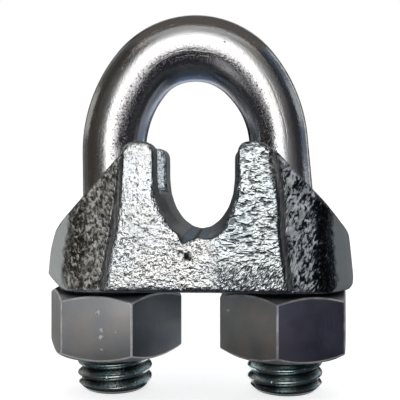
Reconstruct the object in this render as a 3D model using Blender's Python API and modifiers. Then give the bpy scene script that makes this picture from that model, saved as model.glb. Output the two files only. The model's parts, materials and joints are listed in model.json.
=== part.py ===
"""Wire rope clip: a threaded U-bolt, a cast saddle with a rope groove, and two hexagon nuts.

Metres, +Z up. The origin lies midway between the leg ends, on the plane that they stand on.
X runs across the two legs and Y runs along the rope, with the front at -Y.
"""

import math

import bmesh
import bpy
from mathutils import Vector

# U-bolt
LEG_SPACING = 0.0229
BAR_DIAMETER = 0.0085
U_HEIGHT = 0.0501
LEG_DRAW_IN = 0.0005
BOW_LEAN = 0.0006
CROWN_TIGHTENING = 0.0017
THREAD_LENGTH = 0.0220
HAUNCH_SHARE = 0.67
LEG_CHAMFER = 0.0010

# Metric coarse thread, with the shares of its pitch that the standard profile has
THREAD_DIAMETER = 0.0100
THREAD_PITCH = 0.0015
THREAD_FLANK_ANGLE = math.radians(30.0)
CREST_SHARE = 0.125
LEG_THREAD_DEPTH_SHARE = 0.6134
NUT_THREAD_DEPTH_SHARE = 0.5413
THREAD_CLEARANCE = 0.0002
LEFT_THREAD_START = 0.00125
RIGHT_THREAD_START = 0.0008

# Nuts
NUT_FLATS = 0.0160
NUT_HEIGHT = 0.0085
NUT_CHAMFER_ANGLE = math.radians(30.0)
NUT_FACE_SHARE = 0.95
NUT_COUNTERSINK = 0.0004
LEG_PROJECTION = 0.0050
LEFT_NUT_TURN = math.radians(22.0)
RIGHT_NUT_TURN = math.radians(-10.0)

# Saddle
SEAT_GAP = 0.0003
SADDLE_HEIGHT = 0.0187
SADDLE_DEPTH = 0.0230
LEG_HOLE_CLEARANCE = 0.0012
BOSS_WALL = 0.0036
FACE_INSET = 0.00005
FACE_TAPER = math.radians(7.0)
SIDE_DRAFT = math.radians(5.7)
FACE_DRAFT = math.radians(2.0)
GROOVE_WIDTH = 0.0101
GROOVE_ROUND_DEPTH = 0.0075
GROOVE_FLOOR = 0.0069
VALLEY_HEIGHT = 0.0125
VALLEY_CLEARANCE = 0.0014
HORN_WIDTH = 0.0030
HORN_ROUNDING = 0.0012
SHOULDER_ANGLE = math.radians(44.5)
KNEE_ROUNDING = 0.0025
FOOT_ROUNDING = 0.0013
END_LAND = 0.0001

# Smoothness of the round shapes
BAR_SIDES = 24
THREAD_STEPS = 18
TURNED_STEPS = 40
ARC_STEP = math.radians(6.0)
FILLET_STEP = math.radians(18.0)
SHARP_EDGE_ANGLE = math.radians(35.0)

# How far a cutting shape stands past the piece that it cuts, and how close two points merge
OVERCUT = 0.0010
MERGE_DISTANCE = 0.000002

# The most of a straight side that the rounding of one corner may take
CORNER_SHARE = 0.45

# Sizes that follow from those above
LEG_X = LEG_SPACING / 2
BAR_RADIUS = BAR_DIAMETER / 2
THREAD_RADIUS = THREAD_DIAMETER / 2
NUT_BOTTOM = LEG_PROJECTION
SADDLE_BOTTOM = LEG_PROJECTION + NUT_HEIGHT + SEAT_GAP
SADDLE_TOP = SADDLE_BOTTOM + SADDLE_HEIGHT
LEG_HOLE_RADIUS = (THREAD_DIAMETER + LEG_HOLE_CLEARANCE) / 2
BOSS_RADIUS = LEG_HOLE_RADIUS + BOSS_WALL


def clear_scene():
    """Removes every object, so that the clip is alone."""
    for obj in list(bpy.data.objects):
        bpy.data.objects.remove(obj, do_unlink=True)


def new_collection(name):
    """A collection of this name in the scene."""
    collection = bpy.data.collections.new(name)
    bpy.context.scene.collection.children.link(collection)
    return collection


def metal(name, colour, roughness, metallic):
    """A plain metal finish."""
    material = bpy.data.materials.new(name)
    material.use_nodes = True
    shader = material.node_tree.nodes["Principled BSDF"]
    shader.inputs["Base Color"].default_value = (*colour, 1.0)
    shader.inputs["Roughness"].default_value = roughness
    shader.inputs["Metallic"].default_value = metallic
    return material


def add_object(name, mesh, collection, location=(0.0, 0.0, 0.0), turn=0.0):
    """An object of this mesh, turned about its own upright axis."""
    obj = bpy.data.objects.new(name, mesh)
    obj.location = location
    obj.rotation_euler = (0.0, 0.0, turn)
    collection.objects.link(obj)
    return obj


def add_cutter(name, mesh, collection, location=(0.0, 0.0, 0.0)):
    """A shape that only cuts or joins other pieces, drawn as a wire frame."""
    obj = add_object(name, mesh, collection, location)
    obj.hide_render = True
    obj.display_type = "WIRE"
    return obj


def combine(obj, operation, other):
    """Joins, cuts or trims an object by another one."""
    modifier = obj.modifiers.new(f"{operation.lower()}_{other.name}", "BOOLEAN")
    modifier.operation = operation
    modifier.object = other


def finish(obj, material):
    """Gives a piece its material and smooth round faces between its sharp edges."""
    obj.data.materials.append(material)
    obj.data.shade_smooth()
    obj.data.set_sharp_from_angle(angle=SHARP_EDGE_ANGLE)


def evaluated_mesh(obj):
    """The mesh of an object with its modifiers, welded, and the object itself removed."""
    graph = bpy.context.evaluated_depsgraph_get()
    mesh = bpy.data.meshes.new_from_object(obj.evaluated_get(graph))
    bpy.data.objects.remove(obj, do_unlink=True)
    shape = bmesh.new()
    shape.from_mesh(mesh)
    bmesh.ops.remove_doubles(shape, verts=shape.verts, dist=MERGE_DISTANCE)
    shape.to_mesh(mesh)
    shape.free()
    return mesh


def turned_mesh(name, profile, steps, pitch=0.0, turns=1):
    """A profile of radius and height, listed from its top down, turned about the upright axis.

    With a pitch, the profile climbs that much in each turn and its two open ends are closed.
    """
    line = bpy.data.meshes.new(name)
    points = [(radius, 0.0, height) for radius, height in profile]
    line.from_pydata(points, [(i, i + 1) for i in range(len(points) - 1)], [])
    obj = add_object(name, line, bpy.context.scene.collection)
    screw = obj.modifiers.new("turn", "SCREW")
    screw.axis = "Z"
    screw.angle = math.tau
    screw.steps = steps
    screw.render_steps = steps
    screw.screw_offset = pitch
    screw.iterations = turns
    screw.use_merge_vertices = True
    screw.merge_threshold = MERGE_DISTANCE
    mesh = evaluated_mesh(obj)
    if pitch:
        close_ends(mesh)
    return mesh


def close_ends(mesh):
    """Closes the two open ends of a helical surface with fans that meet on its axis."""
    shape = bmesh.new()
    shape.from_mesh(mesh)
    open_edges = [edge for edge in shape.edges if edge.is_boundary]
    caps = bmesh.ops.holes_fill(shape, edges=open_edges, sides=0)["faces"]
    fans = bmesh.ops.poke(shape, faces=caps)
    for centre in fans["verts"]:
        centre.co.x = 0.0
        centre.co.y = 0.0
    bmesh.ops.recalc_face_normals(shape, faces=shape.faces)
    shape.to_mesh(mesh)
    shape.free()


def box_mesh(name, low, high):
    """A box between two corners."""
    shape = bmesh.new()
    bmesh.ops.create_cube(shape, size=1.0)
    size = Vector(high) - Vector(low)
    bmesh.ops.scale(shape, vec=size, verts=shape.verts)
    bmesh.ops.translate(shape, vec=(Vector(low) + Vector(high)) / 2, verts=shape.verts)
    mesh = bpy.data.meshes.new(name)
    shape.to_mesh(mesh)
    shape.free()
    return mesh


def arc_points(centre, radius, start, end, step):
    """Points along an arc, from its start angle to its end angle."""
    count = max(2, math.ceil(abs(end - start) / step))
    angles = [start + (end - start) * i / count for i in range(count + 1)]
    return [(centre[0] + radius * math.cos(a), centre[1] + radius * math.sin(a)) for a in angles]


def rounded_corner(before, corner, after, radius):
    """The points of an arc that rounds one corner of an outline, limited by the sides next to it."""
    corner = Vector(corner)
    back = Vector(before) - corner
    ahead = Vector(after) - corner
    half = back.angle(ahead) / 2
    room = CORNER_SHARE * min(back.length, ahead.length)
    reach = min(radius / math.tan(half), room)
    radius = reach * math.tan(half)
    middle = (back.normalized() + ahead.normalized()).normalized()
    centre = corner + middle * (radius / math.sin(half))
    first = corner + back.normalized() * reach - centre
    last = corner + ahead.normalized() * reach - centre
    start = math.atan2(first.y, first.x)
    sweep = (math.atan2(last.y, last.x) - start + math.pi) % math.tau - math.pi
    return arc_points(centre, radius, start, start + sweep, FILLET_STEP)


def thread_mesh(name, outer_radius, depth, bottom, top, start):
    """A right-hand threaded rod that covers the stretch from bottom to top.

    Its crest passes the +X side at the start height and once a pitch from there, so a leg's thread
    and its nut's thread with the same start lie in mesh.
    """
    inner_radius = outer_radius - depth
    crest = CREST_SHARE * THREAD_PITCH / 2
    root = crest + depth * math.tan(THREAD_FLANK_ANGLE)
    first_turn = math.floor(bottom / THREAD_PITCH) - 2
    turns = math.ceil(top / THREAD_PITCH) + 1 - first_turn
    middle = first_turn * THREAD_PITCH + start
    profile = [
        (inner_radius, middle + THREAD_PITCH - root),
        (inner_radius, middle + root),
        (outer_radius, middle + crest),
        (outer_radius, middle - crest),
        (inner_radius, middle - root),
    ]
    return turned_mesh(name, profile, THREAD_STEPS, THREAD_PITCH, turns)


def tangent_angle(centre, radius, point):
    """The angle on a circle at which the straight line from a lower point outside touches it."""
    away = Vector(point) - Vector(centre)
    return math.atan2(away.y, away.x) + math.acos(radius / away.length)


def half_bow(lean):
    """The middle line of one leg and half of the bow, from the thread to the crown, on the +X side.

    The haunch is an arc that runs smoothly into the crown's arc, and the leg is a straight line
    that touches the haunch.
    """
    bow_half = LEG_X - LEG_DRAW_IN
    crown_radius = bow_half - CROWN_TIGHTENING
    crown_z = U_HEIGHT - BAR_RADIUS - crown_radius
    haunch_z = THREAD_LENGTH + HAUNCH_SHARE * (crown_z - THREAD_LENGTH)
    drop = crown_z - haunch_z
    haunch_radius = (bow_half**2 + drop**2 - crown_radius**2) / (2 * CROWN_TIGHTENING)
    haunch = (bow_half - haunch_radius + lean, haunch_z)
    leg_top = (LEG_X, THREAD_LENGTH - THREAD_PITCH)
    meeting = math.atan2(drop, haunch_radius - bow_half)
    touch = tangent_angle(haunch, haunch_radius, leg_top)
    side = arc_points(haunch, haunch_radius, touch, meeting, ARC_STEP)
    crown = arc_points((lean, crown_z), crown_radius, meeting, math.pi / 2, ARC_STEP)
    return [leg_top, *side, *crown[1:]]


def bow_path():
    """The middle line of the bar: up one leg, round the bow, and down the other leg."""
    right = half_bow(-BOW_LEAN)
    left = half_bow(BOW_LEAN)
    return right + [(-x, z) for x, z in reversed(left[:-1])]


def bar_mesh():
    """The plain round bar of the U-bolt, from the top of one thread to the top of the other."""
    curve = bpy.data.curves.new("bar", "CURVE")
    curve.dimensions = "3D"
    curve.bevel_depth = BAR_RADIUS
    curve.bevel_resolution = (BAR_SIDES - 4) // 2
    curve.use_fill_caps = True
    path = bow_path()
    spline = curve.splines.new("POLY")
    spline.points.add(len(path) - 1)
    for point, (x, z) in zip(spline.points, path):
        point.co = (x, 0.0, z, 1.0)
    return evaluated_mesh(add_object("bar", curve, bpy.context.scene.collection))


def add_threaded_leg(name, x, start, cutters):
    """The threaded end of one leg, chamfered at its foot and run out into the bar at its top."""
    depth = LEG_THREAD_DEPTH_SHARE * THREAD_PITCH
    blank_radius = THREAD_RADIUS + THREAD_CLEARANCE
    run_out = blank_radius - BAR_RADIUS
    blank_top = THREAD_LENGTH + THREAD_PITCH / 2
    blank = [
        (0.0, blank_top),
        (BAR_RADIUS - run_out / 2, blank_top),
        (blank_radius, THREAD_LENGTH - THREAD_PITCH),
        (blank_radius, LEG_CHAMFER + THREAD_CLEARANCE),
        (THREAD_RADIUS - LEG_CHAMFER, 0.0),
        (0.0, 0.0),
    ]
    helix = thread_mesh(name, THREAD_RADIUS, depth, 0.0, blank_top, start)
    leg = add_cutter(name, helix, cutters, (x, 0.0, 0.0))
    blank_mesh = turned_mesh(f"{name}_blank", blank, TURNED_STEPS)
    combine(leg, "INTERSECT", add_cutter(f"{name}_blank", blank_mesh, cutters, (x, 0.0, 0.0)))
    return leg


def make_u_bolt(parts, cutters):
    """The U-bolt: the bent bar with a thread on each leg."""
    u_bolt = add_object("u_bolt", bar_mesh(), parts)
    for side, x, start in (("left", -LEG_X, LEFT_THREAD_START), ("right", LEG_X, RIGHT_THREAD_START)):
        combine(u_bolt, "UNION", add_threaded_leg(f"{side}_leg_thread", x, start, cutters))
    finish(u_bolt, metal("plated_bar", (0.62, 0.62, 0.63), 0.25, 1.0))


def make_nut(name, x, turn, start, parts, cutters):
    """A hexagon nut, chamfered on both faces, in mesh with the thread of its leg."""
    corner_radius = NUT_FLATS / 2 / math.cos(math.pi / 6)
    face_radius = NUT_FACE_SHARE * NUT_FLATS / 2
    edge_drop = (corner_radius - face_radius) * math.tan(NUT_CHAMFER_ANGLE)
    shape = bmesh.new()
    bmesh.ops.create_cone(
        shape, cap_ends=True, segments=6, radius1=corner_radius, radius2=corner_radius, depth=NUT_HEIGHT
    )
    bmesh.ops.translate(shape, vec=(0.0, 0.0, NUT_HEIGHT / 2), verts=shape.verts)
    hexagon = bpy.data.meshes.new(name)
    shape.to_mesh(hexagon)
    shape.free()
    place = (x, 0.0, NUT_BOTTOM)
    nut = add_object(name, hexagon, parts, place, turn)

    barrel = [
        (0.0, NUT_HEIGHT),
        (face_radius, NUT_HEIGHT),
        (corner_radius, NUT_HEIGHT - edge_drop),
        (corner_radius + OVERCUT, NUT_HEIGHT - edge_drop),
        (corner_radius + OVERCUT, edge_drop),
        (corner_radius, edge_drop),
        (face_radius, 0.0),
        (0.0, 0.0),
    ]
    barrel_mesh = turned_mesh(f"{name}_barrel", barrel, TURNED_STEPS)
    combine(nut, "INTERSECT", add_cutter(f"{name}_barrel", barrel_mesh, cutters, place))

    depth = NUT_THREAD_DEPTH_SHARE * THREAD_PITCH
    thread_radius = THREAD_RADIUS + THREAD_CLEARANCE
    mouth_radius = thread_radius + NUT_COUNTERSINK
    core_radius = thread_radius - depth - NUT_COUNTERSINK
    mouth_depth = mouth_radius - core_radius
    spool = [
        (0.0, NUT_HEIGHT + OVERCUT),
        (mouth_radius + OVERCUT, NUT_HEIGHT + OVERCUT),
        (core_radius, NUT_HEIGHT - mouth_depth),
        (core_radius, mouth_depth),
        (mouth_radius + OVERCUT, -OVERCUT),
        (0.0, -OVERCUT),
    ]
    spool_mesh = turned_mesh(f"{name}_mouths", spool, TURNED_STEPS)
    combine(nut, "DIFFERENCE", add_cutter(f"{name}_mouths", spool_mesh, cutters, place))

    tap = thread_mesh(f"{name}_tap", thread_radius, depth, NUT_BOTTOM, NUT_BOTTOM + NUT_HEIGHT, start)
    combine(nut, "DIFFERENCE", add_cutter(f"{name}_tap", tap, cutters, (x, 0.0, 0.0)))
    finish(nut, metal(f"plated_{name}", (0.45, 0.45, 0.47), 0.35, 1.0))


def plan_outline(height):
    """The saddle seen from above, at a height over its foot: two flat faces joined by round bosses."""
    face_half = LEG_X - FACE_INSET - height * math.tan(FACE_TAPER)
    depth_half = SADDLE_DEPTH / 2 - height * math.tan(FACE_DRAFT)
    boss_radius = BOSS_RADIUS - height * math.tan(SIDE_DRAFT)
    touch = tangent_angle((LEG_X, 0.0), boss_radius, (face_half, -depth_half))
    steps = math.ceil(math.pi / (2 * FILLET_STEP))
    angles = [touch * (1 - i / steps) for i in range(2 * steps + 1)]
    boss = [(LEG_X + boss_radius * math.cos(a), boss_radius * math.sin(a)) for a in angles]
    right = [(face_half, -depth_half), *boss, (face_half, depth_half)]
    return right + [(-x, -y) for x, y in right]


def drafted_block():
    """The saddle's block before its profile is cut: its plan, drawn in towards the top by the draft."""
    shape = bmesh.new()
    rings = []
    for height in (-OVERCUT, SADDLE_HEIGHT + OVERCUT):
        rings.append([shape.verts.new((x, y, height)) for x, y in plan_outline(height)])
    foot, top = rings
    shape.faces.new(reversed(foot))
    shape.faces.new(top)
    for i in range(len(foot)):
        shape.faces.new((foot[i - 1], foot[i], top[i], top[i - 1]))
    mesh = bpy.data.meshes.new("saddle")
    shape.to_mesh(mesh)
    shape.free()
    return mesh


def front_profile():
    """The saddle seen from the front: foot, drafted ends, sloping shoulders, horns and rope groove."""
    groove_half = GROOVE_WIDTH / 2
    groove_centre = GROOVE_FLOOR + GROOVE_ROUND_DEPTH
    end_x = LEG_X + BOSS_RADIUS - END_LAND
    horn_x = groove_half + HORN_WIDTH
    lean = math.tan(SIDE_DRAFT)
    slope = math.tan(SHOULDER_ANGLE)
    knee_x = (end_x - lean * (SADDLE_HEIGHT + slope * horn_x)) / (1 - lean * slope)
    knee_z = SADDLE_HEIGHT - slope * (knee_x - horn_x)
    corners = [
        ((0.0, 0.0), 0.0),
        ((end_x, 0.0), FOOT_ROUNDING),
        ((knee_x, knee_z), KNEE_ROUNDING),
        ((horn_x, SADDLE_HEIGHT), HORN_ROUNDING),
        ((groove_half, SADDLE_HEIGHT), HORN_ROUNDING),
        ((groove_half, groove_centre), 0.0),
    ]
    right = []
    for before, (corner, radius), after in zip(corners, corners[1:], corners[2:]):
        right += rounded_corner(before[0], corner, after[0], radius)
    wall = arc_points((0.0, 0.0), 1.0, 0.0, -math.pi / 2, FILLET_STEP)
    right += [(groove_half * u, groove_centre + GROOVE_ROUND_DEPTH * v) for u, v in wall]
    left = [(-x, z) for x, z in reversed(right[:-1])]
    return right + left


def profile_mesh():
    """The front profile as a slab, deeper than the saddle."""
    curve = bpy.data.curves.new("saddle_profile", "CURVE")
    curve.dimensions = "2D"
    curve.fill_mode = "BOTH"
    curve.extrude = SADDLE_DEPTH / 2 + OVERCUT
    outline = front_profile()
    spline = curve.splines.new("POLY")
    spline.points.add(len(outline) - 1)
    for point, (x, z) in zip(spline.points, outline):
        point.co = (x, z, 0.0, 1.0)
    spline.use_cyclic_u = True
    return evaluated_mesh(add_object("saddle_profile", curve, bpy.context.scene.collection))


def make_saddle(parts, cutters):
    """The cast saddle, with the valley between its walls and a hole for each leg."""
    saddle = add_object("saddle", drafted_block(), parts, (0.0, 0.0, SADDLE_BOTTOM))
    profile = add_cutter("saddle_profile", profile_mesh(), cutters, (0.0, 0.0, SADDLE_BOTTOM))
    profile.rotation_euler = (math.pi / 2, 0.0, 0.0)
    combine(saddle, "INTERSECT", profile)

    reach = LEG_X + BOSS_RADIUS + OVERCUT
    valley_half = BAR_RADIUS + VALLEY_CLEARANCE
    valley = box_mesh(
        "saddle_valley",
        (-reach, -valley_half, SADDLE_BOTTOM + VALLEY_HEIGHT),
        (reach, valley_half, SADDLE_TOP + OVERCUT),
    )
    combine(saddle, "DIFFERENCE", add_cutter("saddle_valley", valley, cutters))

    hole = [
        (0.0, SADDLE_TOP + OVERCUT),
        (LEG_HOLE_RADIUS, SADDLE_TOP + OVERCUT),
        (LEG_HOLE_RADIUS, SADDLE_BOTTOM - OVERCUT),
        (0.0, SADDLE_BOTTOM - OVERCUT),
    ]
    for side, x in (("left", -LEG_X), ("right", LEG_X)):
        name = f"{side}_leg_hole"
        hole_mesh = turned_mesh(name, hole, TURNED_STEPS)
        combine(saddle, "DIFFERENCE", add_cutter(name, hole_mesh, cutters, (x, 0.0, 0.0)))
    finish(saddle, metal("plated_casting", (0.66, 0.66, 0.67), 0.45, 0.9))


def main():
    clear_scene()
    parts = new_collection("wire_rope_clip")
    cutters = new_collection("cutters")
    make_u_bolt(parts, cutters)
    make_saddle(parts, cutters)
    make_nut("left_nut", -LEG_X, LEFT_NUT_TURN, LEFT_THREAD_START, parts, cutters)
    make_nut("right_nut", LEG_X, RIGHT_NUT_TURN, RIGHT_THREAD_START, parts, cutters)


main()
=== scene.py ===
"""Looks of the wire rope clip: zinc-plated U-bolt, cast saddle and hexagon nuts on a pale studio table."""

import json
import math

import bmesh
import bpy
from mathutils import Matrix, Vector, bvhtree, kdtree, noise

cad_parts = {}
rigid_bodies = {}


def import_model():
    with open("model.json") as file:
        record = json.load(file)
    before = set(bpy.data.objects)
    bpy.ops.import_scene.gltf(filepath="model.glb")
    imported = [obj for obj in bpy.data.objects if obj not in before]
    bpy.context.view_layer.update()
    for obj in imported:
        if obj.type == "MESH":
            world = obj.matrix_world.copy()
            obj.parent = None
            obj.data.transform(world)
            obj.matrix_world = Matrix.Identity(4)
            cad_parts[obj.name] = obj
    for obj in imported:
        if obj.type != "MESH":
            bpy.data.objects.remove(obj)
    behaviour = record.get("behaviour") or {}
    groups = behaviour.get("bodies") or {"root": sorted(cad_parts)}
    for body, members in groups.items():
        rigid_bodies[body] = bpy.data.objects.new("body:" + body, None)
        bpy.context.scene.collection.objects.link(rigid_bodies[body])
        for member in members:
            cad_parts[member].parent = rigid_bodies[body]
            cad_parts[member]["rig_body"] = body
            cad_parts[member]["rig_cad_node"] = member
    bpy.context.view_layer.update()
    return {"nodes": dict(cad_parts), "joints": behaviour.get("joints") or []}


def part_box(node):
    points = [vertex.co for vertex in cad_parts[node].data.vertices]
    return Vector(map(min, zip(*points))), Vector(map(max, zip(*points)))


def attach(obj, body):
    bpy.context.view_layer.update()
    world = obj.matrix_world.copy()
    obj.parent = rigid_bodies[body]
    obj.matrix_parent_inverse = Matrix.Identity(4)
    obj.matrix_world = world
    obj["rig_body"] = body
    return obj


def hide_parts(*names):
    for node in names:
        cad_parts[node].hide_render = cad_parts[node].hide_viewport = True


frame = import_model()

# Sizes of the U-bolt, in metres
BAR_RADIUS = 0.00425
THREAD_RADIUS = 0.0050
THREAD_PITCH = 0.0015
THREAD_LENGTH = 0.0220
THREAD_DEPTH = 0.00062
THREAD_GAP = 0.0002
LEG_CHAMFER = 0.0010
THREAD_STARTS = {"left": 0.00125, "right": 0.0008}
LEG_DRAW_IN = 0.0005
BOW_LEAN = 0.0006
CROWN_TIGHTENING = 0.0017
HAUNCH_SHARE = 0.67

# How the hot bending changed the bar's section: swollen inside the crown, thinned inside the right leg,
# and pressed forward along its outer side
CROWN_SWELL = 0.00034
CROWN_SWELL_REACH = 0.0065
CROWN_FLATTENING = 0.00012
CROWN_FLATTENING_REACH = 0.0160
LEG_THINNING = 0.00048
LEG_THINNING_START = 0.0055
LEG_THINNING_END = 0.0140
HAUNCH_DIP = 0.0002
HAUNCH_DIP_PLACE = 0.0170
HAUNCH_DIP_REACH = 0.0040
SECTION_SHEAR = 0.065

# Sizes of the nuts
NUT_FLATS = 0.0160
NUT_TURNS = {"left_nut": math.radians(22.0), "right_nut": math.radians(-10.0)}
NUT_FACE_RADIUS = 0.0076
NUT_CHAMFER = math.radians(30.0)
NUT_COUNTERSINK = 0.0004
NUT_CORNER_ROUND = 0.00017
NUT_EDGE_ROUND = 0.00016

# Smoothness
BAR_SIDES = 96
BEND_STEP = math.radians(2.0)
TURN_STEPS = 120
THREAD_STEPS = 60
OVERCUT = 0.0010
WELD = 0.000002

# Surface of the casting
CAST_VOXEL = 0.00034
CAST_SMOOTHING = 8
SHARP_ANGLE = math.radians(25.0)
EDGE_SPACING = 0.00015
LINE_STEPS = 40
LINE_SPACING = 0.0002
EDGE_BAND = 0.00025
FLANK_BAND = 0.00110
FLANK_RIM = 0.85
FLANK_BEVEL = 0.00055
FLANK_EDGE_RISE = 0.0050
FLAT_ANGLE = math.radians(0.5)
BOSS_FACING = 0.63
SKIN_WANDER = 0.00060
SKIN_FADE = 0.00055
GROOVE_HALF = 0.0056
GROOVE_HALF_WIDTH = 0.00505
GROOVE_ROUND_DEPTH = 0.0075
GROOVE_CENTRE = 0.0282
LUMP_SIZE = 0.00060
GRIT_SIZE = 0.00030
HOLLOW_SIZE = 0.00075
GRAIN_HEIGHT = 0.00006

# Larger pits in the front face: x, z, radius and depth
CAST_DENTS = (
    (-0.0010, 0.0186, 0.00034, 0.00034),
    (-0.0018, 0.0191, 0.00030, 0.00018),
)

# The uneven front edge of the groove: where each wave lies round the groove and how wide it is, in
# degrees from straight down towards the right, and how far it stands out
MOUTH_WAVES = (
    (-43.0, 11.0, -0.00016),
    (-15.0, 6.0, 0.00068),
    (3.0, 6.0, -0.00030),
    (29.0, 13.0, 0.00046),
)
MOUTH_REACH = 0.0030

# How much the groove narrows on each side towards the back, and how far the mould's upper half stood to
# the right of its lower half
GROOVE_TAPER = 0.0002
MOULD_SHIFT = 0.00040
SHOULDER_START = 0.0085

LEG_HOLE_RADIUS = 0.0056

# How far the foot stands up along the front and back, and how much its left end is cut back
FOOT_LIFT = 0.00055
FOOT_LIFT_START = 0.0072
FOOT_LIFT_RISE = 0.0022
LEFT_FOOT_CUT = 0.9
LEFT_FOOT_TOP = 0.00165

# How much the walls of the valley turn towards the groove
VALLEY_WALL_TURN = 0.11
MOUTH_SPREAD = 0.16

LEG_X = next(j for j in frame["joints"] if j["name"] == "right_nut_turn")["pos_m"][0]
U_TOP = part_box("u_bolt")[1].z
SADDLE_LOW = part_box("saddle")[0]
NUT_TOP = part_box("left_nut")[1].z


# Modelling by hand


def smooth_step(low, high, value):
    """0 below low, 1 above high, and a soft rise between them."""
    share = min(max((value - low) / (high - low), 0.0), 1.0)
    return share * share * (3.0 - 2.0 * share)


def deselect():
    """Leaves nothing selected, so that an operator acts only on what is chosen next."""
    if bpy.context.mode != "OBJECT":
        bpy.ops.object.mode_set(mode="OBJECT")
    bpy.ops.object.select_all(action="DESELECT")


def pick(obj):
    """Selects one object alone and makes it the active one."""
    deselect()
    obj.select_set(True)
    bpy.context.view_layer.objects.active = obj


def edit(obj):
    """Opens one object for editing with all of it selected."""
    pick(obj)
    bpy.ops.object.mode_set(mode="EDIT")
    bpy.ops.mesh.select_mode(type="VERT")
    bpy.ops.mesh.select_all(action="SELECT")


def select_verts(obj, test):
    """In edit mode, selects the vertices whose place passes a test."""
    bpy.ops.mesh.select_mode(type="VERT")
    bpy.ops.mesh.select_all(action="DESELECT")
    bpy.ops.object.mode_set(mode="OBJECT")
    for vertex in obj.data.vertices:
        vertex.select = test(vertex.co)
    bpy.ops.object.mode_set(mode="EDIT")


def apply_modifier(obj, kind, **settings):
    """Puts one modifier on an object and applies it."""
    pick(obj)
    modifier = obj.modifiers.new(kind.lower(), kind)
    for name, value in settings.items():
        setattr(modifier, name, value)
    bpy.ops.object.modifier_apply(modifier=modifier.name)


def cut(obj, operation, tool):
    """Joins, cuts or trims an object by a tool, which is then put away."""
    apply_modifier(obj, "BOOLEAN", operation=operation, object=tool)
    bpy.data.objects.remove(tool, do_unlink=True)


def drawn_line(name, points):
    """A line drawn point by point in edit mode."""
    deselect()
    bpy.ops.mesh.primitive_plane_add(size=WELD, location=points[0])
    line = bpy.context.object
    line.name = name
    bpy.ops.object.transform_apply(location=True, rotation=False, scale=False)
    edit(line)
    bpy.ops.mesh.merge(type="CENTER")
    for start, end in zip(points, points[1:]):
        step = Vector(end) - Vector(start)
        bpy.ops.mesh.extrude_region_move(TRANSFORM_OT_translate={"value": step})
    deselect()
    return line


def turned(name, profile, steps, climb=0.0, turns=1):
    """A profile of radius and height, listed from its top down, turned about the upright axis."""
    shape = drawn_line(name, [(radius, 0.0, height) for radius, height in profile])
    apply_modifier(
        shape, "SCREW", axis="Z", angle=math.tau, steps=steps, render_steps=steps, screw_offset=climb,
        iterations=turns, use_merge_vertices=True, merge_threshold=WELD,
    )
    edit(shape)
    bpy.ops.mesh.remove_doubles(threshold=WELD)
    if climb:
        bpy.ops.mesh.select_all(action="DESELECT")
        bpy.ops.mesh.select_non_manifold()
        bpy.ops.mesh.fill_holes(sides=0)
        bpy.ops.mesh.poke()
        bpy.ops.mesh.select_all(action="SELECT")
    bpy.ops.mesh.normals_make_consistent(inside=False)
    deselect()
    return shape


def move(obj, place):
    """Shifts the whole mesh of an object, which itself stays at the origin."""
    edit(obj)
    bpy.ops.transform.translate(value=place)
    deselect()


# U-bolt


def thread_profile(outer, depth, middle):
    """One pitch of a rounded thread, from its top down: root, flank, crest, flank, root."""
    points = []
    for i in range(17):
        share = i / 16
        height = middle + THREAD_PITCH * (0.5 - share)
        swell = 0.5 - 0.5 * math.cos(math.tau * share)
        points.append((outer - depth * (1 - swell ** 0.85), height))
    return points


def threaded_rod(name, outer, depth, bottom, top, shift):
    """A right-hand threaded rod that covers the stretch from bottom to top."""
    first = math.floor(bottom / THREAD_PITCH) - 2
    turns = math.ceil(top / THREAD_PITCH) + 1 - first
    profile = thread_profile(outer, depth, first * THREAD_PITCH + shift)
    return turned(name, profile, THREAD_STEPS, THREAD_PITCH, turns)


def bow_parts(lean):
    """Centres, radii and angles of one half of the bow, on the +X side."""
    bow_half = LEG_X - LEG_DRAW_IN
    crown_radius = bow_half - CROWN_TIGHTENING
    crown = Vector((lean, 0.0, U_TOP - BAR_RADIUS - crown_radius))
    haunch_z = THREAD_LENGTH + HAUNCH_SHARE * (crown.z - THREAD_LENGTH)
    drop = crown.z - haunch_z
    haunch_radius = (bow_half**2 + drop**2 - crown_radius**2) / (2 * CROWN_TIGHTENING)
    haunch = Vector((bow_half - haunch_radius + lean, 0.0, haunch_z))
    meeting = math.atan2(drop, haunch_radius - bow_half)
    foot = Vector((LEG_X, 0.0, THREAD_LENGTH - THREAD_PITCH))
    away = foot - haunch
    touch = math.atan2(away.z, away.x) + math.acos(haunch_radius / away.length)
    return crown, crown_radius, haunch, haunch_radius, meeting, touch, foot


def spin_bar(centre, angle):
    """Sweeps the selected ring of the bar round a centre, in the plane of the bow."""
    steps = math.ceil(abs(angle) / BEND_STEP)
    bpy.ops.mesh.spin(steps=steps, angle=angle, center=centre, axis=(0.0, 1.0, 0.0))


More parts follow.
